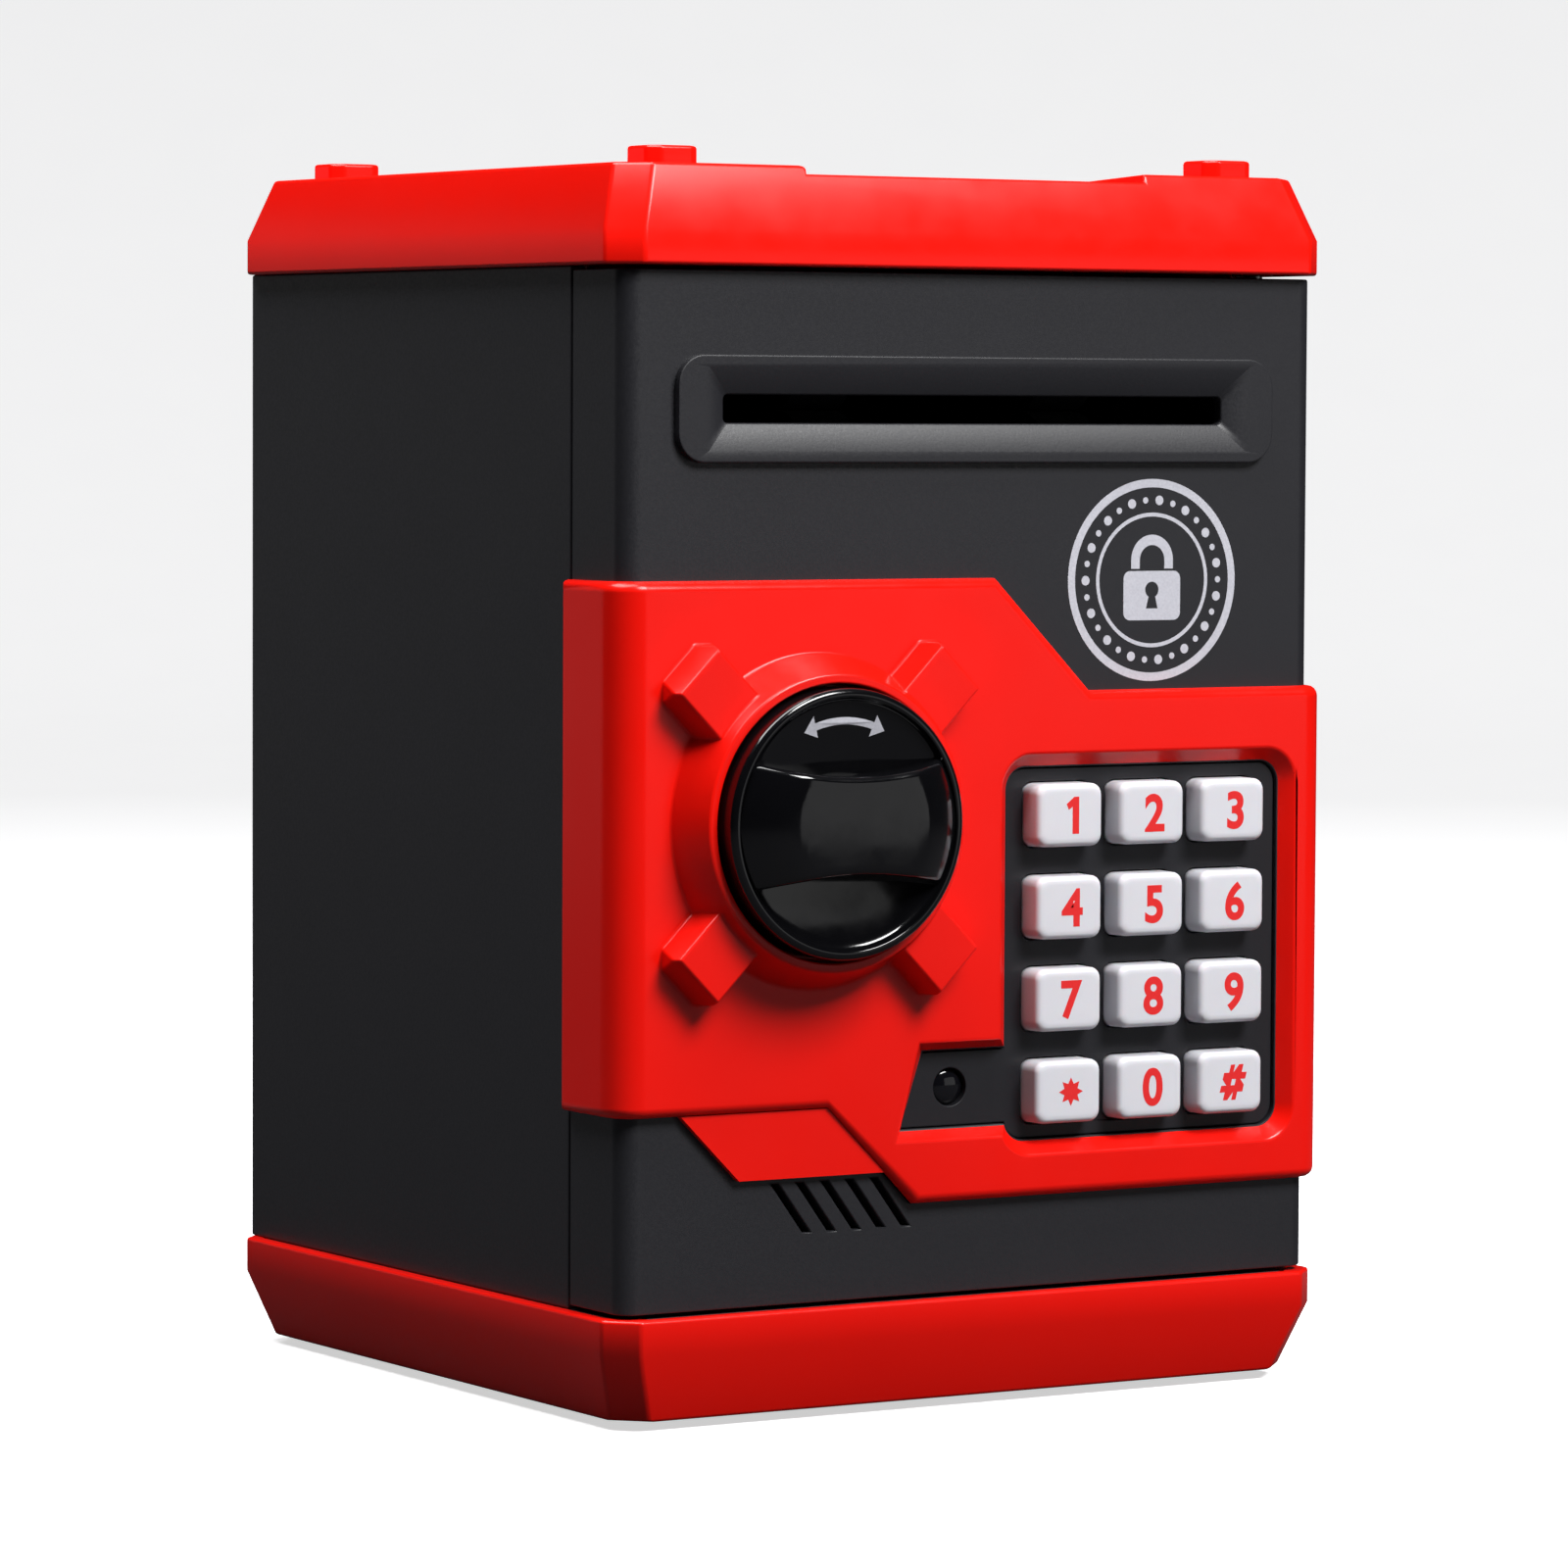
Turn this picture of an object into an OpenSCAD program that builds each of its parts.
// Toy safe coin bank: a case with a money compartment, and a hinged door that
// carries the bill feeder, the keypad, the lock and its knob.
// Millimetres. +Z is up, the door faces -Y, and the hinge is on the +X side.

/* [Case] */
// Width over the top cover and the base
case_w = 129; // [124:1:160]
// Depth over the top cover and the base
case_d = 124.5; // [112:0.5:155]
// Height from the underside of the base to the flat of the top cover
case_h = 187; // [180:1:225]
// How far the top cover and the base stand out past the walls
reveal = 2.1; // [1.6:0.1:3]
// Thickness of the moulded walls
wall = 2.4; // [1.8:0.1:3]
// Height of the base
base_h = 15.7; // [14.5:0.1:18]
// Height of the top cover
cover_h = 15.1; // [13:0.1:20]
// Height of the upright band round the top cover and the base
band_h = 5.4; // [3:0.1:7]
// How far the sloped faces lean in
slope_in = 3.3; // [2:0.1:5]
// Cut across the upright corners of the top cover and the base
corner_cut = 4.4; // [3:0.1:6]
// Height of a rubber foot
foot_h = 1.5; // [1:0.1:1.9]

/* [Top of the case] */
// Distance of each stud from the middle planes
stud_at = 50.3; // [46:0.1:51]
// Width of a stud
stud_w = 9; // [6:0.1:11]
// Height of a stud
stud_h = 2.7; // [1.5:0.1:4]
// Length of the coin slot
coin_slot_l = 34; // [28:1:40]
// Width of the coin slot
coin_slot_w = 5; // [4.4:0.1:6]
// Depth of the sunk field round the coin slot
recess_h = 1.3; // [0.8:0.1:1.6]

/* [Door] */
// Depth of the door's side walls
door_side = 15.4; // [14.5:0.1:18]
// Gap between the door and the parts round it
door_gap = 0.6; // [0.4:0.1:1]
// Radius of the door's upright front edges
door_r = 3; // [2:0.1:4]
// Depth of the mechanism box, from the door's front face
box_d = 29; // [28:0.5:34]
// Radius of the hinge knuckle
hinge_r = 3.4; // [3.2:0.1:3.8]

/* [Bill slot] */
// Height of the bill slot above the base's underside
slot_z = 150.7; // [146:0.1:153]
// Length of the bill slot
slot_w = 90; // [84:1:91]
// Height of the bill slot
slot_h = 4.2; // [4.1:0.1:5]

/* [Lock front] */
// Height of the knob's axis
knob_z = 89.1; // [84:0.1:94]
// Distance of the knob's axis left of the middle
knob_left = 30.2; // [27:0.1:31]
// Radius of the knob
knob_r = 20.3; // [18:0.1:22]
// How far the knob's grip stands out in front of the case
knob_reach = 13.5; // [11:0.5:18]
// Radius of the spindle
spindle_r = 4; // [3:0.1:4.5]

/* [Keypad] */
// Distance between key columns
key_dx = 15.2; // [14.8:0.1:15.8]
// Distance between key rows
key_dz = 14.15; // [12.5:0.05:14.6]
// Width of a key
key_w = 12.2; // [10:0.1:12.6]
// Height of a key
key_h = 9.9; // [8:0.1:10.4]
// How far a key stands out of its panel
key_out = 4; // [3:0.1:5]
// How far a key travels when it is pressed
key_travel = 1.2; // [0.8:0.1:1.3]

/* [Batteries] */
// Diameter of one cell
cell_d = 14.2; // [13.5:0.1:14.5]
// Length of one cell with its button
cell_l = 50; // [49:0.1:51]

/* [Hidden] */
$fn = 64;

// Fits
fit_gap = 0.15;      // between fixed pieces that slot together
run_gap = 0.06;      // radial, between a shaft and its bearing
screw_gap = 0.05;    // radial, between a screw and its pilot hole
eps = 0.01;
over = 1;            // how far a cutter runs past the face that it cuts

// Colours
red = "#F0221E";
charcoal = "#2E2E33";
black = "#111113";
steel = "#B9BCC2";
white = "#E6E4EC";

// Case planes, measured from the middle of the case and the base's underside
half_w = case_w / 2;
half_d = case_d / 2;
body_x = half_w - reveal;
body_y = half_d - reveal;
inner_x = body_x - wall;
inner_y = body_y - wall;
shell_z0 = base_h;
shell_z1 = case_h - cover_h;
floor_t = 3;                       // bottom of the base, thick enough for the battery rebate
top_t = 3;                         // top of the cover
lip_h = 4;                         // locating lips inside the shell
lip_t = 1.6;
tray_x = half_w - wall;            // inside of the base and cover at the band
tray_y = half_d - wall;

// Door planes
front_y = -body_y;
door_in_y = front_y + wall;
seam_y = front_y + door_side;
seam_gap = 0.4;
door_z0 = shell_z0 + door_gap;
door_z1 = shell_z1 - door_gap;
hinge_x = body_x - hinge_r;
hinge_y = seam_y - hinge_r;
box_y = front_y + box_d;           // back face of the mechanism box
box_t = 1.8;
box_x0 = -inner_x + 5.5;           // leaves room for the strike and for the swing
box_x1 = hinge_x - hinge_r - 1.4;
box_z0 = door_z0 + 7.7;
box_z1 = door_z1 - 6.2;
lead_x = 50;                       // where the lead runs up to the main board

// Hinge pins: solid above, and hollow below, where the lead passes through
pin_r = 1.5;
pin_l = 16;
tube_r = 2;
tube_bore_r = 1.15;
lead_r = 0.8;
lead_turn_z = 24;                  // the lead changes from case to door here
sleeve_z = base_h - band_h + 0.2;  // lower end of the tube's sleeve

// Bill path
frame_w = slot_w + 17.4;
frame_h = 16;
frame_r = 4.5;
frame_out = 1.2;
guide_t = 1.6;
plate_t = 1.8;
plate_x = slot_w / 2 + 1.6;          // inner face of the feeder's side plates
nip_y = front_y + 14.8;
nip_gap = 0.3;
drive_r = 7;
idler_r = 5;
roller_x = 22;
roller_w = 10;
shaft_r = 1.5;
drive_z = slot_z - nip_gap / 2 - drive_r;
idler_z = slot_z + nip_gap / 2 + idler_r;
plate_top = idler_z + 3.5;

// Gears
gear_module = 0.7;
gear_teeth = 30;
pinion_teeth = 12;
gear_w = 3;
gear_x = plate_x + plate_t + 0.5;
mesh_d = gear_module * (gear_teeth + pinion_teeth) / 2 + 0.1;
motor_z = drive_z - mesh_d;
motor_r = 10;
motor_l = 25;
motor_flat = 15;
motor_shaft_r = 1;

// Lock
knob_x = -knob_left;
fascia_top = 125.2;
fascia_step = 107.8;
fascia_mid = 45.7;
fascia_bot = 30.4;
top_diag_x = 2.3;
low_diag_x = -27.2;
hub_r0 = 25.2;
hub_r1 = 22.3;
hub_h = 6.5;
well_r = knob_r + 0.6;
knob_lift = 0.8;                   // gap behind the knob
knob_face = 9.7;                   // rim of the knob in front of the case
arm_t = 3;
arm_l = 28.4;
arm_w = 8;
arm_y = seam_y + seam_gap + 3.4;   // front face of the latch arm
strike_t = 3;
strike_in = 3.7;
cam_r = 11;
notch_d = 3.6;
plunger_r = 2.5;
plunger_stroke = 3.5;
plunger_y = arm_y + arm_t / 2;
coil_x0 = knob_x + 15.2;
coil_l = 22;
coil_w = 13;
coil_t = 1.2;

// Keypad
panel_y = front_y + 0.6;           // face of the keypad panel
panel_w = 3 * key_dx + 4.6;
panel_h = 4 * key_dz + 0.2;
panel_r = 3.2;
panel_x = 30.6;
panel_mid_z = 67.6;
panel_back_y = door_in_y;
flange_t = 1;
key_r = 1.6;
key_x = panel_x - 0.5;
key_flange_t = 0.8;
key_back_y = panel_back_y + flange_t + 0.05;
sheet_t = 0.8;
dome_h = 0.8;
sheet_y = key_back_y + key_flange_t + key_travel + 0.1 + dome_h;
board_y = sheet_y + sheet_t;
board_t = 1.6;
led_x = -4.3;
led_z = 47.7;
lens_r = 2.9;

// Speaker and sound slots
vent_n = 5;
vent_dx = 4.4;
vent_w = 1.3;
vent_x = -36.4;
vent_z = 27;
vent_h = 7.6;
vent_lean = 5.6;
speaker_r = 12;
speaker_x = -26;
speaker_z = 32;

// Battery bay, under the back of the money compartment
cell_gap = 0.5;
cell_pitch = cell_d + cell_gap;
bay_l = cell_l + 7.5;
bay_w = 3 * cell_pitch + 1;
bay_y = half_d - slope_in - 9 - bay_w / 2;
bay_t = 2;
bay_cover_t = 1.6;
ledge = 2;
cell_z = bay_cover_t + 0.6 + cell_d / 2;
hump_z = cell_z + cell_d / 2 + 0.4;
ear_l = 9;

// Screw posts that hold the cover and the base to the shell
post_r = 3.5;
post_x = inner_x - 6;
post_front_y = box_y + 7.2;
post_back_y = inner_y - 6;
tab_t = 3;
screw_r = 1.4;
head_r = 2.7;
foot_r = 5;

coin_slot_y = -half_d + 55;
ear_x = bay_l / 2 + ledge + ear_l / 2 - 0.5;    // screw of the battery cover
lead_z = floor_t + lead_r + 0.4;                // the lead lies near the base's bottom
lead_bay_y = bay_y - bay_w / 2 + 4.5;           // and leaves the battery bay here

// Screw posts in the door, as [x, z]
boss_r = 2.8;
fascia_bosses = [[-49, 117], [-4, 117], [-49, 54], [-15, 60], [26, 34]];
back_bosses = [[box_x0 + 6, box_z0 + 6], [lead_x - 7.8, box_z0 + 6],
               [-35, box_z1 - box_t - boss_r - 0.2], [35, box_z1 - box_t - boss_r - 0.2]];
frame_bosses = [[-plate_x + 4, drive_z - 13], [plate_x - 4, idler_z + 8]];
coil_bosses = [coil_x0 + 3.6, coil_x0 + coil_l - 7];
board_posts = [for (sx = [-0.5, 0.5], sz = [-1, 1]) [key_x + sx * key_dx, panel_mid_z + sz * key_dz]];

// Spindle and plunger
sleeve_y = arm_y - 2;              // back end of the spindle's sleeve
tip_w = 5;                         // square end of the spindle, which turns the latch arm
plunger_x = knob_x + cam_r + 0.5;
spring_solid = 3.1;                // length of the spring when its turns touch
collar_x = coil_x0 + coil_l + plunger_stroke + spring_solid;

// ---- Helpers -------------------------------------------------------------

// Moves a piece from the middle of the case to the part's own origin
module placed() translate([0, knob_reach / 2, foot_h]) children();

// Turns an outline drawn in X and Z into a slab between two depths
module slab(y0, y1) translate([0, y1, 0]) rotate([90, 0, 0]) linear_extrude(y1 - y0) children();

module rod_x(r, x0, x1, y, z) translate([x0, y, z]) rotate([0, 90, 0]) cylinder(r = r, h = x1 - x0);
module rod_y(r, y0, y1, x, z) translate([x, y1, z]) rotate([90, 0, 0]) cylinder(r = r, h = y1 - y0);
module rod_z(r, z0, z1, x, y) translate([x, y, z0]) cylinder(r = r, h = z1 - z0);
module block(x0, x1, y0, y1, z0, z1) translate([x0, y0, z0]) cube([x1 - x0, y1 - y0, z1 - z0]);

// Centred rectangle with round corners
module round_rect(w, h, r) {
    square([w - 2 * r, h], center = true);
    square([w, h - 2 * r], center = true);
    for (sx = [-1, 1], sz = [-1, 1])
        translate([sx * (w / 2 - r), sz * (h / 2 - r)]) circle(r);
}

// Centred rectangle with its corners cut off at 45 degrees
function cut_rect(w, d, c) = [
    [-w / 2 + c, -d / 2], [w / 2 - c, -d / 2], [w / 2, -d / 2 + c], [w / 2, d / 2 - c],
    [w / 2 - c, d / 2], [-w / 2 + c, d / 2], [-w / 2, d / 2 - c], [-w / 2, -d / 2 + c]];

// Upright band with a sloped part above it, smaller all round by g
module tapered_block(g, h) {
    linear_extrude(band_h) polygon(cut_rect(case_w - 2 * g, case_d - 2 * g, corner_cut));
    lean = slope_in * (h - band_h) / (cover_h - band_h);
    hull() {
        translate([0, 0, band_h - eps]) linear_extrude(eps)
            polygon(cut_rect(case_w - 2 * g, case_d - 2 * g, corner_cut));
        translate([0, 0, h - eps]) linear_extrude(eps)
            polygon(cut_rect(case_w - 2 * g - 2 * lean, case_d - 2 * g - 2 * lean, corner_cut));
    }
}

// Plan of a box whose two front corners are round
module front_round(x, y0, y1, r) {
    translate([-x, y0 + r]) square([2 * x, y1 - y0 - r]);
    translate([-x + r, y0]) square([2 * (x - r), r]);
    for (s = [-1, 1]) translate([s * (x - r), y0 + r]) circle(r);
}

// Screw with a round head: head first, then the shank, along +Z
module screw(l, r = screw_r, head = head_r, head_h = 1.6) {
    difference() {
        cylinder(r = head, h = head_h);
        for (a = [0, 90]) rotate(a)
            translate([-head * 0.6, -0.3, -over]) cube([head * 1.2, 0.6, over + 0.7]);
    }
    translate([0, 0, head_h - eps]) cylinder(r = r, h = l + eps);
}

// Places its children at the four posts that tie cover, shell and base together
module at_posts() for (sx = [-1, 1], y = [post_front_y, post_back_y])
    translate([sx * post_x, y, 0]) children();

// Involute outline of a spur gear, with the tooth thinned for backlash
function involute(rb, r) = let (t = sqrt(max(0, r * r / (rb * rb) - 1))) t * 180 / PI - atan(t);
function gear_points(n, thin) = let (
    rp = gear_module * n / 2,
    rb = rp * cos(20),
    ra = rp + 0.85 * gear_module,
    rf = rp - 1.15 * gear_module,
    half = 90 / n - thin / rp * 90 / PI + involute(rb, rp),
    rs = max(rb, rf),
    steps = [for (k = [0:4]) rs + (ra - rs) * k / 4])
    [for (i = [0:n - 1], p = concat(
        [[rf, -half + involute(rb, rs)]],
        [for (r = steps) [r, -half + involute(rb, r)]],
        [for (k = [4:-1:0]) [steps[k], half - involute(rb, steps[k])]],
        [[rf, half - involute(rb, rs)]]))
        let (a = i * 360 / n + p[1]) [p[0] * cos(a), p[0] * sin(a)]];

// ---- Case ------------------------------------------------------------------

// U-shaped wall of the case: left side, back and right side in one moulding
module body_shell() placed() color(charcoal) difference() {
    union() {
        difference() {
            block(-body_x, body_x, seam_y + seam_gap, body_y, shell_z0, shell_z1);
            block(-inner_x, inner_x, seam_y, inner_y, shell_z0 - over, shell_z1 + over);
        }
        // tabs that the cover's and the base's screws pass into
        for (sx = [-1, 1], y = [post_front_y, post_back_y])
            for (z = [shell_z0 + lip_h + fit_gap, shell_z1 - lip_h - fit_gap - tab_t])
                block(min(sx * (inner_x + eps), sx * (post_x - post_r)),
                      max(sx * (inner_x + eps), sx * (post_x - post_r)),
                      y - post_r, y + post_r, z, z + tab_t);
        // strike that the latch arm turns behind
        block(-inner_x - eps, -inner_x + strike_in, seam_y + seam_gap, seam_y + seam_gap + strike_t,
              knob_z - 9, knob_z + 9);
    }
    at_posts() {
        translate([0, 0, shell_z0 + lip_h]) cylinder(r = screw_r + screw_gap, h = tab_t + 0.5);
        translate([0, 0, shell_z1 - lip_h - tab_t - 0.5])
            cylinder(r = screw_r + fit_gap, h = tab_t + 0.5);
    }
}

// Sunk field in the top, narrow where it opens through the front edge
module top_field() linear_extrude(recess_h + stud_h) polygon([
    [-30.5, -half_d - over], [30.5, -half_d - over], [30.5, -half_d + slope_in],
    [42, -half_d + 36], [42, -half_d + 66], [34, -half_d + 74], [-34, -half_d + 74],
    [-42, -half_d + 66], [-42, -half_d + 36], [-30.5, -half_d + slope_in]]);

module top_cover() placed() color(red) difference() {
    union() {
        difference() {
            translate([0, 0, shell_z1]) tapered_block(0, cover_h);
            translate([0, 0, shell_z1 - eps]) tapered_block(wall, cover_h - top_t);
        }
        for (sx = [-1, 1], sy = [-1, 1])
            translate([sx * stud_at, sy * stud_at, case_h - eps]) linear_extrude(stud_h + eps)
                polygon(cut_rect(stud_w, stud_w, stud_w / 5));
        // lip that drops inside the shell, open towards the door
        difference() {
            block(-inner_x + fit_gap, inner_x - fit_gap, seam_y + 2, inner_y - fit_gap,
                  shell_z1 - lip_h, case_h - top_t + eps);
            block(-inner_x + fit_gap + lip_t, inner_x - fit_gap - lip_t, seam_y, inner_y - fit_gap - lip_t,
                  shell_z1 - lip_h - over, case_h - top_t + over);
        }
        at_posts() translate([0, 0, shell_z1 - lip_h])
            cylinder(r = post_r, h = cover_h - top_t + lip_h + eps);
        rod_z(hinge_r, shell_z1, case_h - top_t + eps, hinge_x, hinge_y);
        // ribs that carry the hinge boss
        block(hinge_x, tray_x + eps, hinge_y - 0.8, hinge_y + 0.8, shell_z1, case_h - top_t - slope_in);
    }
    translate([0, 0, case_h - recess_h]) top_field();
    block(-coin_slot_l / 2, coin_slot_l / 2, coin_slot_y - coin_slot_w / 2, coin_slot_y + coin_slot_w / 2,
          case_h - top_t - over, case_h + over);
    rod_z(pin_r, shell_z1 - over, shell_z1 + pin_l / 2 + 0.5, hinge_x, hinge_y);
    at_posts() translate([0, 0, shell_z1 - lip_h - over]) cylinder(r = screw_r + screw_gap, h = 9);
}

// Battery opening in the base's underside, and the rebate that its cover drops into
module bay_rebate(g, z1) {
    block(-bay_l / 2 - ledge + g, bay_l / 2 + ledge - g, bay_y - bay_w / 2 - ledge + g,
          bay_y + bay_w / 2 + ledge - g, -over, z1);
    block(bay_l / 2, bay_l / 2 + ledge + ear_l - g, bay_y - 5 + g, bay_y + 5 - g, -over, z1);
}

module base_tray() placed() color(red) difference() {
    union() {
        difference() {
            translate([0, 0, base_h]) mirror([0, 0, 1]) tapered_block(0, base_h);
            translate([0, 0, base_h + eps]) mirror([0, 0, 1]) tapered_block(wall, base_h - floor_t);
        }
        // walls of the battery bay
        block(-bay_l / 2 - bay_t, bay_l / 2 + bay_t, bay_y - bay_w / 2 - bay_t, bay_y + bay_w / 2 + bay_t,
              floor_t - eps, base_h - wall);
        at_posts() translate([0, 0, floor_t - eps]) cylinder(r = post_r, h = base_h - wall - floor_t);
        rod_z(post_r, floor_t - eps, base_h - wall - 3, ear_x, bay_y);
    }
    block(-bay_l / 2, bay_l / 2, bay_y - bay_w / 2, bay_y + bay_w / 2, -over, base_h);
    bay_rebate(0, bay_cover_t);
    // room for the lead where it turns up into the hinge
    translate([hinge_x, hinge_y, lead_z]) sphere(lead_r + 0.1);
    rod_z(lead_r + 0.1, lead_z, base_h, hinge_x, hinge_y);
    // gap in the bay wall for the lead
    block(bay_l / 2 - over, bay_l / 2 + bay_t + over, bay_y - bay_w / 2 + 3, bay_y - bay_w / 2 + 6,
          floor_t, floor_t + 3);
    rod_z(screw_r + screw_gap, -over, base_h - wall - 4, ear_x, bay_y);
    at_posts() {
        translate([0, 0, -over]) cylinder(r = screw_r + fit_gap, h = base_h);
        translate([0, 0, -over]) cylinder(r = head_r + fit_gap, h = over + 2);
    }
}

// Floor of the money compartment, raised over the battery bay
module inner_floor() placed() color(black) difference() {
    union() {
        translate([0, 0, base_h - wall]) linear_extrude(wall)
            polygon(cut_rect(2 * (tray_x - fit_gap), 2 * (tray_y - fit_gap), corner_cut));
        difference() {
            block(-inner_x + fit_gap, inner_x - fit_gap, seam_y + 2, inner_y - fit_gap,
                  base_h - eps, base_h + lip_h);
            block(-inner_x + fit_gap + lip_t, inner_x - fit_gap - lip_t, seam_y, inner_y - fit_gap - lip_t,
                  base_h - over, base_h + lip_h + over);
        }
        block(-bay_l / 2 - bay_t, bay_l / 2 + bay_t, bay_y - bay_w / 2 - bay_t, bay_y + bay_w / 2 + bay_t,
              base_h - eps, hump_z + bay_t);
        at_posts() translate([0, 0, base_h - eps]) cylinder(r = post_r, h = lip_h + eps);
        rod_z(tube_r + 0.9, sleeve_z, base_h - eps, hinge_x, hinge_y);
    }
    block(-bay_l / 2, bay_l / 2, bay_y - bay_w / 2, bay_y + bay_w / 2, base_h - wall - over, hump_z);
    at_posts() translate([0, 0, base_h - wall - over])
        cylinder(r = screw_r + fit_gap, h = lip_h + wall + 2 * over);
    rod_z(tube_r, sleeve_z - over, base_h + over, hinge_x, hinge_y);
    // the sleeve is flat where it passes the base's wall
    block(tray_x - fit_gap, half_w, hinge_y - post_r, hinge_y + post_r, sleeve_z - over, base_h);
}

module battery_cover() placed() color(red) difference() {
    intersection() {
        bay_rebate(fit_gap, bay_cover_t - 0.05);
        block(-half_w, half_w, -half_d, half_d, 0, bay_cover_t);
    }
    rod_z(screw_r + fit_gap, -over, bay_cover_t + over, ear_x, bay_y);
    rod_z(head_r + fit_gap, -over, 0.9, ear_x, bay_y);
    // finger ridges
    for (i = [0:4]) block(-bay_l / 2 + 4 + i * 2.4, -bay_l / 2 + 5.2 + i * 2.4,
                          bay_y - 7, bay_y + 7, -over, 0.5);
}

module battery_cover_screw() placed() color(steel)
    translate([ear_x, bay_y, 0.1]) screw(base_h - wall - 5.3, head_h = 0.8);

// One cell: the can, and the button at its positive end; cells lie head to tail
module battery_cell(i) placed() color(i == 1 ? "#3A6EA5" : "#2F5F93")
    translate([0, bay_y + (i - 1) * cell_pitch, cell_z]) mirror([i % 2, 0, 0]) {
        rod_x(cell_d / 2, -cell_l / 2, cell_l / 2 - 1.5, 0, 0);
        rod_x(2.7, cell_l / 2 - 1.5 - eps, cell_l / 2, 0, 0);
    }

module at_cells() for (i = [0:2])
    translate([0, bay_y + (i - 1) * cell_pitch, cell_z]) mirror([i % 2, 0, 0]) children();

// Conical contact springs, drawn as closed turns, at the cells' flat ends
module battery_springs() placed() color(steel) at_cells()
    for (k = [0:3]) translate([-cell_l / 2 - 0.55 - 0.75 * k, 0, 0]) rotate([0, 90, 0])
        rotate_extrude() translate([3 + 0.55 * k, 0]) circle(r = 0.5, $fn = 16);

module battery_plates() placed() color(steel) at_cells() {
    rod_x(4, cell_l / 2, bay_l / 2 - 0.4, 0, 0);
    block(-bay_l / 2, -bay_l / 2 + 0.4, -6, 6, -6, 6);
    block(bay_l / 2 - 0.4, bay_l / 2, -6, 6, -6, 6);
}

module rubber_feet() placed() color("#1A1A1A")
    for (sx = [-1, 1], sy = [-1, 1])
        rod_z(foot_r, -foot_h, 0, sx * (half_w - slope_in - 14), sy * (half_d - slope_in - 15));

// Long screws up through the base and the floor into the shell's lower tabs
module base_screws() placed() color(steel)
    at_posts() translate([0, 0, 0.4]) screw(base_h + lip_h + tab_t - 2);

// Screws up through the shell's upper tabs into the cover's posts
module cover_screws() placed() color(steel)
    at_posts() translate([0, 0, shell_z1 - lip_h - fit_gap - tab_t - 1.6]) screw(tab_t + 7);

// Upper pin is solid; the lower one is a tube that the lead runs through
module hinge_pins() placed() color(steel) {
    rod_z(pin_r, shell_z1 - pin_l / 2, shell_z1 + pin_l / 2, hinge_x, hinge_y);
    difference() {
        rod_z(tube_r, sleeve_z, lead_turn_z, hinge_x, hinge_y);
        rod_z(tube_bore_r, sleeve_z - over, lead_turn_z + over, hinge_x, hinge_y);
    }
}

// Straight stretches of round lead between points, with round elbows
module lead(points) {
    for (i = [0:len(points) - 2]) {
        d = points[i + 1] - points[i];
        l = norm(d);
        translate(points[i]) rotate([0, acos(d[2] / l), atan2(d[1], d[0])])
            cylinder(r = lead_r, h = l, $fn = 24);
        if (i > 0) translate(points[i]) sphere(r = lead_r, $fn = 24);
    }
}

module battery_lead() placed() color(black) lead([
    [bay_l / 2 + 0.2, lead_bay_y, lead_z], [bay_l / 2 + 7, lead_bay_y, lead_z],
    [bay_l / 2 + 7, hinge_y, lead_z], [hinge_x, hinge_y, lead_z], [hinge_x, hinge_y, lead_turn_z]]);

// ---- Door ------------------------------------------------------------------

module bill_mouth(y0, y1, w, h) slab(y0, y1) translate([0, slot_z]) round_rect(w, h, 0.8);

// Outline of the keypad panel, grown by g: the key field and the tab for the lamp
module panel_field(g) translate([panel_x, panel_mid_z])
    round_rect(panel_w + 2 * g, panel_h + 2 * g, panel_r + g);
module panel_tab(g) {
    x1 = panel_x - panel_w / 2 + 1;
    polygon([[x1, led_z - 5.9 - g], [led_x - 9 - 1.2 * g, led_z - 5.9 - g],
             [led_x - 5 - 1.2 * g, led_z + 5.5 + g], [x1, led_z + 5.5 + g]]);
}
module panel_outline(g) {
    panel_field(g);
    panel_tab(g);
}

// Leaning sound slots in front of the speaker
module vents(y0, y1) for (i = [0:vent_n - 1]) slab(y0, y1)
    translate([vent_x + i * vent_dx, vent_z]) polygon([
        [0, vent_h], [vent_lean, 0], [vent_lean + vent_w, 0], [vent_w, vent_h]]);

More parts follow.
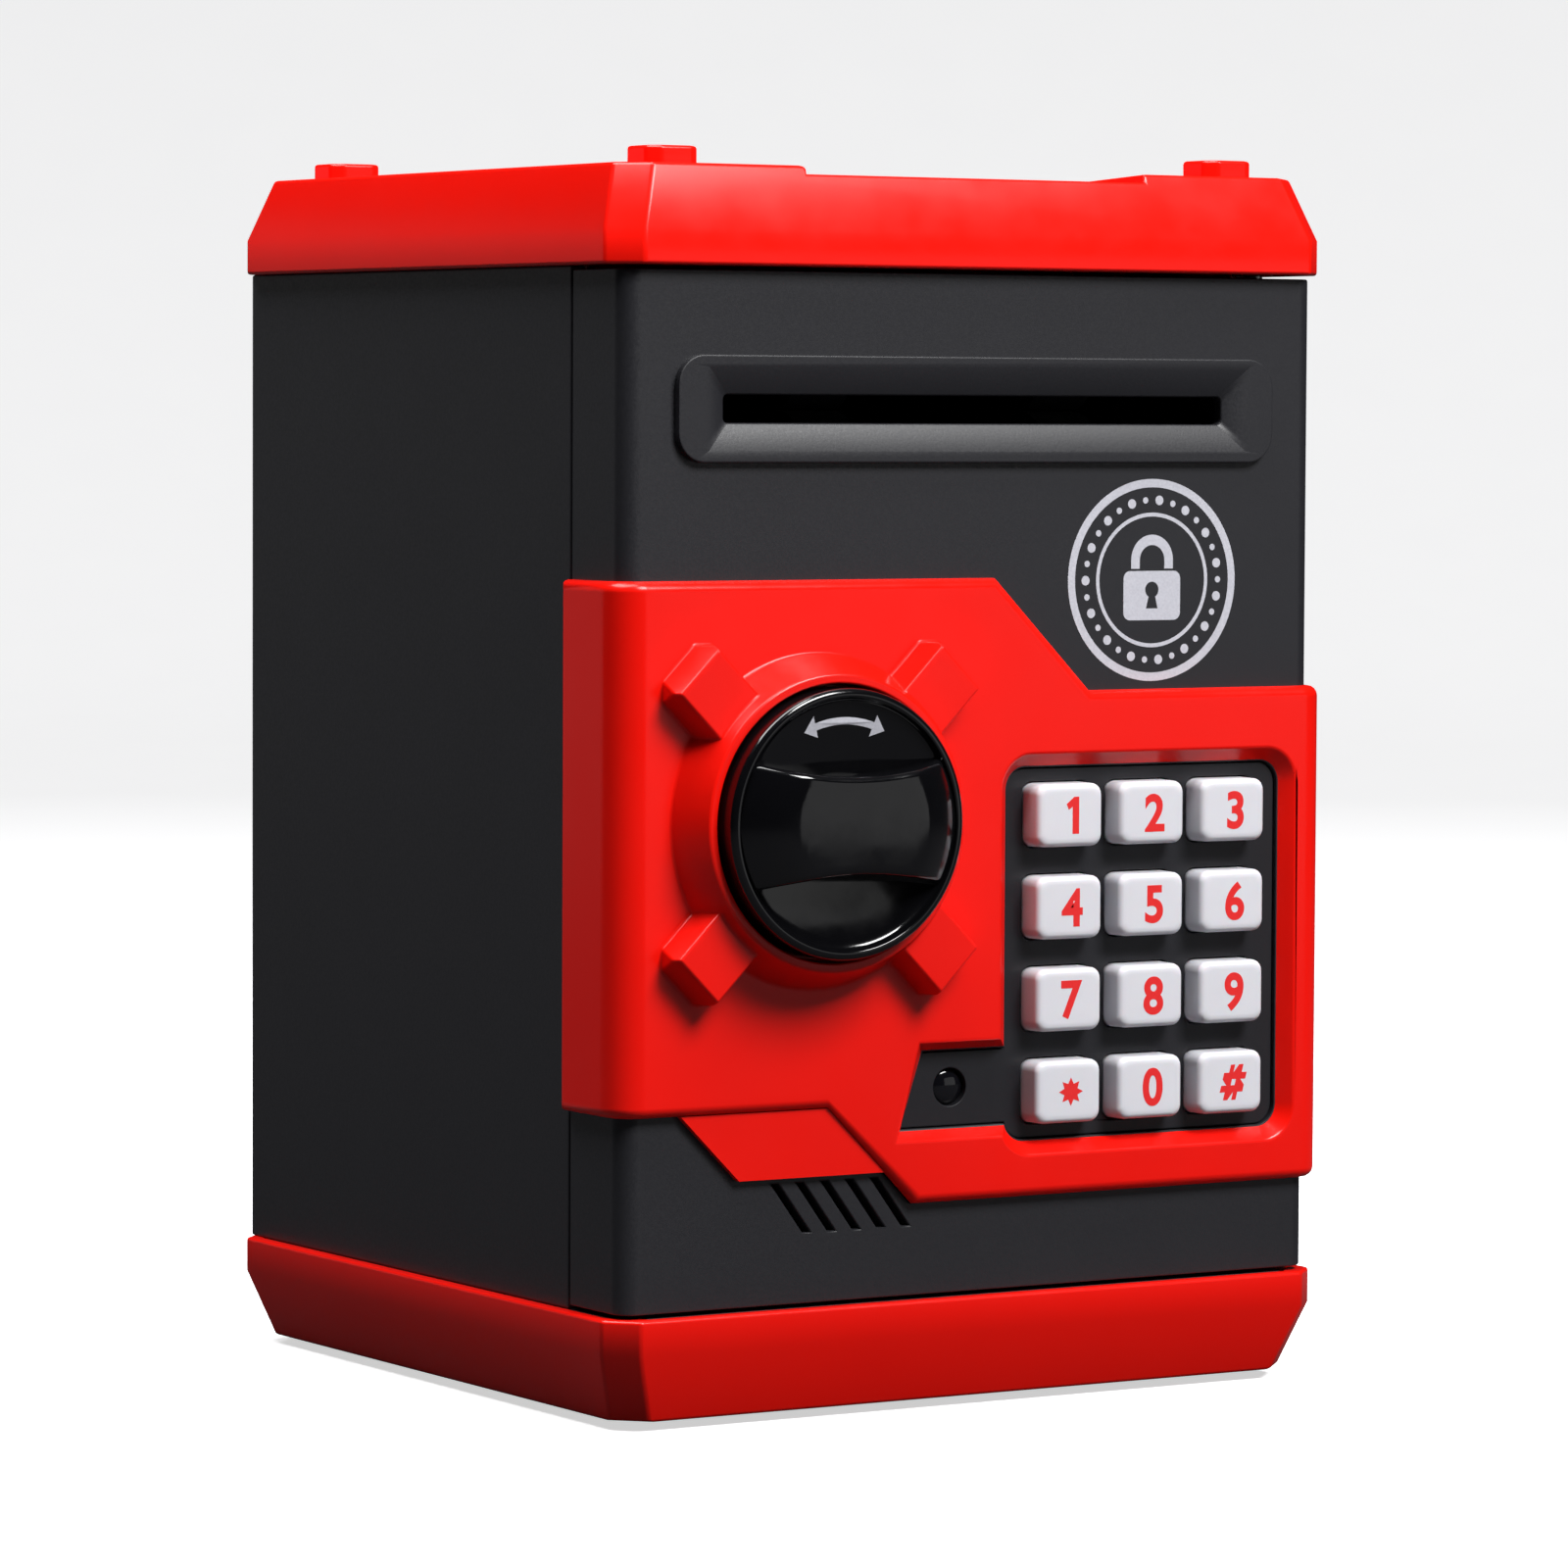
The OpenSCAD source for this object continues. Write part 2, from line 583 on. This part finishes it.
module door_shell() placed() color(charcoal) difference() {
    union() {
        difference() {
            translate([0, 0, door_z0]) linear_extrude(door_z1 - door_z0)
                front_round(body_x, front_y, seam_y, door_r);
            block(-inner_x, inner_x, door_in_y, seam_y + over, door_z0 + wall, door_z1 - wall);
            // the hinge side stops at the knuckle
            block(hinge_x, body_x + over, hinge_y, seam_y + over, door_z0 - over, door_z1 + over);
        }
        rod_z(hinge_r, door_z0, door_z1, hinge_x, hinge_y);
        slab(front_y - frame_out, front_y + eps) translate([0, slot_z]) round_rect(frame_w, frame_h, frame_r);
        rod_y(spindle_r + 2.5, door_in_y - eps, sleeve_y, knob_x, knob_z);
        for (p = back_bosses) rod_y(boss_r, door_in_y - eps, box_y - box_t, p[0], p[1]);
        for (x = coil_bosses) rod_y(boss_r, door_in_y - eps, plunger_y - coil_w / 2, x, knob_z);
        for (p = frame_bosses) rod_y(boss_r, door_in_y - eps, door_in_y + 5, p[0], p[1]);
        // ring that the speaker sits in
        rod_y(speaker_r + 1.2, door_in_y - eps, door_in_y + 3, speaker_x, speaker_z);
    }
    hull() {
        bill_mouth(front_y - frame_out - eps, front_y - frame_out, slot_w + 8.6, 12.5);
        bill_mouth(front_y + 0.6, front_y + 0.6 + eps, slot_w, slot_h);
    }
    bill_mouth(front_y - over, door_in_y + over, slot_w, slot_h);
    vents(front_y - over, door_in_y + over);
    rod_y(speaker_r + fit_gap, door_in_y, door_in_y + 4, speaker_x, speaker_z);
    slab(front_y - over, door_in_y + over) panel_outline(fit_gap);
    rod_y(spindle_r + run_gap, front_y - over, sleeve_y + over, knob_x, knob_z);
    for (p = fascia_bosses) rod_y(boss_r + fit_gap, front_y - over, door_in_y + over, p[0], p[1]);
    for (p = back_bosses) rod_y(1 + screw_gap, box_y - box_t - 8, box_y, p[0], p[1]);
    for (x = coil_bosses) rod_y(1 + screw_gap, door_in_y, plunger_y, x, knob_z);
    for (p = frame_bosses) rod_y(1 + screw_gap, door_in_y, door_in_y + 5 + over, p[0], p[1]);
    // bores for the hinge pins, and the way out for the lead
    rod_z(pin_r + run_gap, door_z1 - pin_l / 2 - 0.5, door_z1 + over, hinge_x, hinge_y);
    rod_z(tube_r + run_gap, door_z0 - over, lead_turn_z + 8, hinge_x, hinge_y);
    rod_x(lead_r + 0.3, hinge_x - hinge_r - over, hinge_x, hinge_y, lead_turn_z + 6);
}

// Red front of the lock: it wraps the door's face and both its sides
module lock_fascia() placed() color(red) difference() {
    union() {
        intersection() {
            linear_extrude(case_h) difference() {
                front_round(half_w, -half_d, seam_y, door_r + reveal);
                front_round(body_x, front_y, seam_y + over, door_r);
                // clears the hinge when the door stands open
                translate([body_x - eps, hinge_y - reveal - 2.3]) square([reveal + over, door_side]);
            }
            slab(-half_d - over, seam_y + over) polygon([
                [-half_w - over, fascia_mid], [low_diag_x, fascia_mid],
                [low_diag_x + fascia_mid - fascia_bot, fascia_bot], [half_w + over, fascia_bot],
                [half_w + over, fascia_step], [top_diag_x + fascia_top - fascia_step, fascia_step],
                [top_diag_x, fascia_top], [-half_w - over, fascia_top]]);
        }
        // lower step beside the long diagonal
        slab(front_y - 1.1, front_y) polygon([
            [-53.4, fascia_mid + 0.5], [-42.7, 35.5], [low_diag_x + fascia_mid - 35.5 + 1, 35.5],
            [low_diag_x + 0.5, fascia_mid + 0.5]]);
        // hub and its four fixed spokes
        translate([knob_x, -half_d + eps, knob_z]) rotate([90, 0, 0]) {
            cylinder(r1 = hub_r0, r2 = hub_r1, h = hub_h);
            for (a = [45:90:315]) rotate(a) spoke();
        }
        for (p = fascia_bosses) rod_y(boss_r, front_y - eps, door_in_y + 1.5, p[0], p[1]);
    }
    rod_y(well_r, -half_d - hub_h - over, -half_d, knob_x, knob_z);
    rod_y(spindle_r + run_gap, -half_d - over, front_y + over, knob_x, knob_z);
    hull() {
        slab(-half_d - eps, -half_d) panel_field(reveal + 0.3);
        slab(front_y, front_y + eps) panel_field(0.4);
    }
    hull() {
        slab(-half_d - eps, -half_d) panel_tab(reveal - 0.3);
        slab(front_y, front_y + eps) panel_tab(0.4);
    }
    for (p = fascia_bosses) rod_y(1 + screw_gap, front_y, door_in_y + 1.5 + over, p[0], p[1]);
}

// One spoke of the hub, along +X, with leaning sides and a leaning end
module spoke() difference() {
    rotate([90, 0, 90]) linear_extrude(34) polygon([[-6, 0], [6, 0], [4.6, 4.6], [-4.6, 4.6]]);
    translate([-over, -7, -over]) cube([hub_r1 - 3, 14, 7]);
    translate([34, -7, 0]) rotate([0, -20, 0]) cube([5, 14, 7]);
    for (s = [-1, 1]) translate([34, s * 6, -over]) rotate(s * 45) translate([-1.6, -4, 0]) cube([5, 8, 7]);
}

module fascia_screws() placed() color(steel) for (p = fascia_bosses)
    translate([p[0], door_in_y + 3.1, p[1]]) rotate([90, 0, 0]) screw(3.4, r = 1, head = boss_r + 1.2);

module key_spots(k) translate([key_x + (k % 3 - 1) * key_dx, panel_mid_z + (1.5 - floor(k / 3)) * key_dz])
    children();

module keypad_panel() placed() color(black) difference() {
    union() {
        slab(panel_y, panel_back_y + eps) panel_outline(0);
        slab(panel_back_y, panel_back_y + flange_t) panel_outline(1.5);
        for (p = board_posts) rod_y(1.3, panel_back_y, board_y, p[0], p[1]);
    }
    for (k = [0:11]) slab(panel_y - over, panel_back_y + flange_t + over)
        key_spots(k) round_rect(key_w + 2 * fit_gap, key_h + 2 * fit_gap, key_r + fit_gap);
    rod_y(lens_r, panel_y - over, panel_back_y + flange_t + over, led_x, led_z);
    for (p = board_posts) rod_y(0.7, board_y - 3, board_y + over, p[0], p[1]);
}

// Rubber sheet with one dome behind each key, drawn with the domes pressed down
module keypad_membrane() placed() color("#C9C9CE") difference() {
    union() {
        slab(sheet_y, sheet_y + sheet_t) panel_field(-1);
        for (k = [0:11]) slab(sheet_y - dome_h, sheet_y + eps) key_spots(k) circle(3.4);
    }
    for (p = board_posts) rod_y(1.3 + fit_gap, sheet_y - over, sheet_y + over + sheet_t, p[0], p[1]);
}

module main_board() placed() color("#1F6B3A") {
    difference() {
        slab(board_y, board_y + board_t) panel_outline(-0.6);
        for (p = board_posts) rod_y(0.8, board_y - over, board_y + board_t + over, p[0], p[1]);
    }
    // processor, buzzer and connectors on the back
    block(24, 34, board_y + board_t - eps, board_y + board_t + 1.5, 62, 72);
    rod_y(4.5, board_y + board_t - eps, board_y + board_t + 4, 16, 48);
    block(12, 20, board_y + board_t - eps, board_y + board_t + 4, 84, 90);
    block(lead_x - 3, lead_x + 3, board_y + board_t - eps, board_y + board_t + 4, 44, 56);
}

module board_screws() placed() color(steel) for (p = board_posts)
    translate([p[0], board_y + board_t + 1, p[1]])
        rotate([90, 0, 0]) screw(3.8, r = 0.65, head = 1.5, head_h = 1);

module status_led() placed() color("#D8D8DC") {
    rod_y(1.5, board_y - 3, board_y, led_x, led_z);
    translate([led_x, board_y - 3, led_z]) sphere(r = 1.5);
}

module led_lens() placed() color("#1B1B20") difference() {
    union() {
        rod_y(lens_r, panel_y + 0.3, panel_back_y + flange_t, led_x, led_z);
        rod_y(lens_r + 1, panel_back_y + flange_t, panel_back_y + flange_t + 0.8, led_x, led_z);
    }
    rod_y(1.9, panel_y + 1.4, panel_back_y + flange_t + over, led_x, led_z);
}

// Tray that closes the door's back and makes room for the mechanism
module door_back_cover() placed() color(charcoal) difference() {
    union() {
        block(-inner_x + fit_gap, hinge_x - hinge_r - 0.3, seam_y - 2, seam_y,
              door_z0 + wall + fit_gap, door_z1 - wall - fit_gap);
        block(box_x0, box_x1, seam_y - eps, box_y, box_z0, box_z1);
    }
    block(box_x0 + box_t, box_x1 - box_t, seam_y - 2 - over, box_y - box_t, box_z0 + box_t, box_z1 - box_t);
    // way out for the bills
    slab(box_y - box_t - over, box_y + over) translate([0, slot_z]) square([slot_w - 2, slot_h + 2], center = true);
    // way out for the latch arm
    block(box_x0 - over, box_x0 + box_t + over, arm_y - 0.4, arm_y + arm_t + 0.4,
          knob_z - arm_l * 0.66, knob_z + arm_w / 2 + 1);
    for (p = back_bosses) rod_y(1 + fit_gap, box_y - box_t - over, box_y + over, p[0], p[1]);
}

module back_cover_screws() placed() color(steel) for (p = back_bosses)
    translate([p[0], box_y + 1.6, p[1]]) rotate([90, 0, 0]) screw(7.5, r = 1, head = 2.3);

// Side plates and bill guides, one moulding
module feeder_frame() placed() color("#3A3A40") difference() {
    union() {
        for (z = [slot_z - slot_h / 2 - 0.2 - guide_t, slot_z + slot_h / 2 + 0.2])
            block(-plate_x - eps, plate_x + eps, door_in_y + 0.2, box_y - box_t - 0.3, z, z + guide_t);
        block(-plate_x - plate_t, -plate_x, door_in_y + 0.2, box_y - box_t - 0.3,
              drive_z - 8, plate_top);
        block(plate_x, plate_x + plate_t, door_in_y + 0.2, box_y - box_t - 0.3,
              motor_z - motor_r, plate_top);
        // ears on the two screw posts
        for (p = frame_bosses)
            block(p[0] - boss_r - 0.5, p[0] + boss_r + 0.5, door_in_y + 5, door_in_y + 6.5, p[1] - 4, p[1] + 4);
        block(-plate_x - plate_t, -plate_x + 2, door_in_y + 5, door_in_y + 6.5,
              frame_bosses[0][1] - 4, drive_z - 8 + eps);
        block(plate_x - 2, plate_x + plate_t, door_in_y + 5, door_in_y + 6.5,
              plate_top - eps, frame_bosses[1][1] + 4);
    }
    for (z = [drive_z, idler_z])
        rod_x(shaft_r + run_gap, -plate_x - plate_t - over, plate_x + plate_t + over, nip_y, z);
    rod_x(2.5, plate_x - over, plate_x + plate_t + over, nip_y, motor_z);
    // windows for the rollers
    for (s = [-1, 1]) {
        block(s * roller_x - roller_w / 2 - 1, s * roller_x + roller_w / 2 + 1,
              nip_y - drive_r, nip_y + drive_r, drive_z, slot_z);
        block(s * roller_x - roller_w / 2 - 1, s * roller_x + roller_w / 2 + 1,
              nip_y - idler_r, nip_y + idler_r, slot_z, idler_z);
    }
    for (p = frame_bosses) rod_y(1 + fit_gap, door_in_y + 4, door_in_y + 8, p[0], p[1]);
    // shafts pass clear through the guides' span
    block(-plate_x, plate_x, door_in_y, box_y, drive_z - 8 - over, drive_z);
}

// Screws for the feeder frame and the solenoid
module frame_screws() placed() color(steel) {
    for (p = frame_bosses) translate([p[0], door_in_y + 8.1, p[1]])
        rotate([90, 0, 0]) screw(5, r = 1, head = 2);
    for (x = coil_bosses) translate([x, plunger_y - coil_w / 2 + coil_t + 1.2, knob_z])
        rotate([90, 0, 0]) screw(5, r = 1, head = 2, head_h = 1.2);
}

module feed_motor() placed() color(steel) difference() {
    union() {
        intersection() {
            rod_x(motor_r, plate_x - 0.2 - motor_l, plate_x - 0.2, nip_y, motor_z);
            block(-half_w, half_w, nip_y - motor_r, nip_y + motor_r,
                  motor_z - motor_flat / 2, motor_z + motor_flat / 2);
        }
        rod_x(2.3, plate_x - 0.2 - eps, plate_x + plate_t, nip_y, motor_z);
    }
    rod_x(motor_shaft_r + run_gap, plate_x - 8, plate_x + plate_t + over, nip_y, motor_z);
}

module speaker() placed() color("#202024") {
    rod_y(speaker_r, door_in_y + 0.3, door_in_y + 2.6, speaker_x, speaker_z);
    rod_y(7, door_in_y + 2.6 - eps, door_in_y + 6.5, speaker_x, speaker_z);
}

module solenoid_frame() placed() color(steel) difference() {
    block(coil_x0, coil_x0 + coil_l, plunger_y - coil_w / 2, plunger_y + coil_w / 2,
          knob_z - coil_w / 2, knob_z + coil_w / 2);
    block(coil_x0 + coil_t, coil_x0 + coil_l - coil_t, plunger_y - coil_w / 2 + coil_t,
          plunger_y + coil_w / 2 + over, knob_z - coil_w / 2 - over, knob_z + coil_w / 2 + over);
    rod_x(plunger_r + run_gap, coil_x0 - over, coil_x0 + coil_l + over, plunger_y, knob_z);
    for (x = coil_bosses)
        rod_y(1 + fit_gap, plunger_y - coil_w / 2 - over, plunger_y - coil_w / 2 + coil_t + over, x, knob_z);
}

module solenoid_coil() placed() color("#B5651D") difference() {
    union() {
        rod_x(3.8, coil_x0 + coil_t, coil_x0 + coil_l - coil_t, plunger_y, knob_z);
        for (x = [coil_x0 + coil_t, coil_x0 + coil_l - coil_t - 0.8])
            rod_x(4, x, x + 0.8, plunger_y, knob_z);
    }
    rod_x(plunger_r + run_gap, coil_x0, coil_x0 + coil_l, plunger_y, knob_z);
}

// Light gate that sees the bill come in
module bill_sensor() placed() color(black)
    block(-3, 3, door_in_y + 1, door_in_y + 7,
          slot_z + slot_h / 2 + 0.2 + guide_t, slot_z + slot_h / 2 + guide_t + 6);

module door_lead() placed() color(black) lead([
    [hinge_x, hinge_y, lead_turn_z], [hinge_x, hinge_y, lead_turn_z + 6],
    [lead_x, hinge_y, lead_turn_z + 6], [lead_x, hinge_y, 43.8]]);

// ---- Moving pieces ---------------------------------------------------------

// Knob: a shallow cup with a waisted grip bar across its face
module knob() placed() color(black) difference() {
    union() {
        rod_y(knob_r, -half_d - knob_face, -half_d - knob_lift, knob_x, knob_z);
        intersection() {
            rod_y(knob_r - 1.4, -half_d - knob_reach, -half_d - knob_face + eps, knob_x, knob_z);
            slab(-half_d - knob_reach, -half_d - knob_face + eps) translate([knob_x, knob_z]) grip_outline();
        }
    }
    difference() {
        rod_y(knob_r - 1.8, -half_d - knob_face - over, -half_d - knob_face + 1.6, knob_x, knob_z);
        slab(-half_d - knob_reach, -half_d) translate([knob_x, knob_z]) grip_outline();
    }
    rod_y(spindle_r, -half_d - knob_face + 4, -half_d, knob_x, knob_z);
}
module grip_outline() polygon([for (s = [-1, 1], t = [-1:0.2:1])
    [-s * t * knob_r, s * (knob_r * 0.36 + knob_r * 0.17 * t * t)]]);

module knob_spindle() placed() color(white) difference() {
    union() {
        rod_y(spindle_r, -half_d - knob_face + 4, arm_y - 0.1, knob_x, knob_z);
        block(knob_x - tip_w / 2, knob_x + tip_w / 2, arm_y - 0.1 - eps, arm_y + arm_t,
              knob_z - tip_w / 2, knob_z + tip_w / 2);
    }
    rod_y(1 + screw_gap, arm_y - 6, arm_y + arm_t + over, knob_x, knob_z);
}

// Latch arm: hangs down when the door is free, and turns behind the strike
module latch_arm() placed() color(steel) difference() {
    slab(arm_y, arm_y + arm_t) translate([knob_x, knob_z]) difference() {
        union() {
            circle(cam_r);
            translate([-arm_w / 2, -arm_l]) square([arm_w, arm_l]);
        }
        square(tip_w + 2 * 0.1, center = true);
        // one notch for each end of the turn, which the plunger drops into
        for (a = [0, 90]) rotate(a)
            translate([cam_r - notch_d, -plunger_r - 0.4]) square([notch_d + over, 2 * plunger_r + 0.8]);
    }
}

module latch_screw() placed() color(steel)
    translate([knob_x, arm_y + arm_t + 1.7, knob_z]) rotate([90, 0, 0]) screw(5, r = 1, head = 3.6);

module solenoid_plunger() placed() color(steel) {
    rod_x(plunger_r, plunger_x, collar_x + 1.2, plunger_y, knob_z);
    rod_x(4, collar_x, collar_x + 1.2, plunger_y, knob_z);
}

// Spring between the solenoid's frame and the plunger's collar
module plunger_spring() placed() color(steel) {
    turns = 5;
    pitch = (collar_x - coil_x0 - coil_l - 0.8) / (turns - 1);
    for (k = [0:turns - 1]) translate([coil_x0 + coil_l + 0.4 + k * pitch, plunger_y, knob_z])
        rotate([0, 90, 0]) rotate_extrude() translate([3.2, 0]) circle(r = 0.3, $fn = 16);
}

module motor_pinion() placed() color("#E8D9A0") {
    translate([gear_x, nip_y, motor_z]) rotate([0, 90, 0])
        rotate(pinion_teeth % 2 == 0 ? 180 / pinion_teeth : 0)
        linear_extrude(gear_w) polygon(gear_points(pinion_teeth, 0.09));
    rod_x(motor_shaft_r, plate_x - 7, gear_x + eps, nip_y, motor_z);
}

module drive_gear() placed() color("#E8D9A0") difference() {
    translate([gear_x, nip_y, drive_z]) rotate([0, 90, 0])
        linear_extrude(gear_w) polygon(gear_points(gear_teeth, 0.09));
    rod_x(shaft_r, gear_x - over, gear_x + gear_w + over, nip_y, drive_z);
}

module roller_shaft(z, x1) rod_x(shaft_r, -plate_x - plate_t - 1.5, x1, nip_y, z);

module drive_shaft() placed() color(steel) roller_shaft(drive_z, gear_x + gear_w + 0.1);
module idler_shaft() placed() color(steel) roller_shaft(idler_z, plate_x + plate_t + 0.2);

module rollers(r, z) for (s = [-1, 1]) difference() {
    rod_x(r, s * roller_x - roller_w / 2, s * roller_x + roller_w / 2, nip_y, z);
    rod_x(shaft_r, s * roller_x - roller_w / 2 - over, s * roller_x + roller_w / 2 + over, nip_y, z);
}
module drive_rollers() placed() color("#26262A") rollers(drive_r, drive_z);
module idler_rollers() placed() color(black) rollers(idler_r, idler_z);

// A key: the cap, and a flange that keeps it behind the panel
module key(k) placed() color(white) {
    slab(panel_y - key_out, key_back_y + eps) key_spots(k) round_rect(key_w, key_h, key_r);
    slab(key_back_y, key_back_y + key_flange_t) key_spots(k) round_rect(key_w + 1.3, key_h + 1.4, key_r);
}

body_shell();
top_cover();
base_tray();
inner_floor();
battery_cover();
battery_cover_screw();
battery_cell(0);  // battery_cell_1
battery_cell(1);  // battery_cell_2
battery_cell(2);  // battery_cell_3
battery_springs();
battery_plates();
rubber_feet();
base_screws();
cover_screws();
hinge_pins();
battery_lead();
door_shell();
lock_fascia();
fascia_screws();
keypad_panel();
keypad_membrane();
main_board();
board_screws();
status_led();
led_lens();
door_back_cover();
back_cover_screws();
feeder_frame();
frame_screws();
feed_motor();
speaker();
solenoid_frame();
solenoid_coil();
bill_sensor();
door_lead();
knob();
knob_spindle();
latch_arm();
latch_screw();
solenoid_plunger();
plunger_spring();
motor_pinion();
drive_gear();
drive_shaft();
drive_rollers();
idler_shaft();
idler_rollers();
key(0);  // key_1
key(1);  // key_2
key(2);  // key_3
key(3);  // key_4
key(4);  // key_5
key(5);  // key_6
key(6);  // key_7
key(7);  // key_8
key(8);  // key_9
key(9);  // key_star
key(10);  // key_0
key(11);  // key_hash
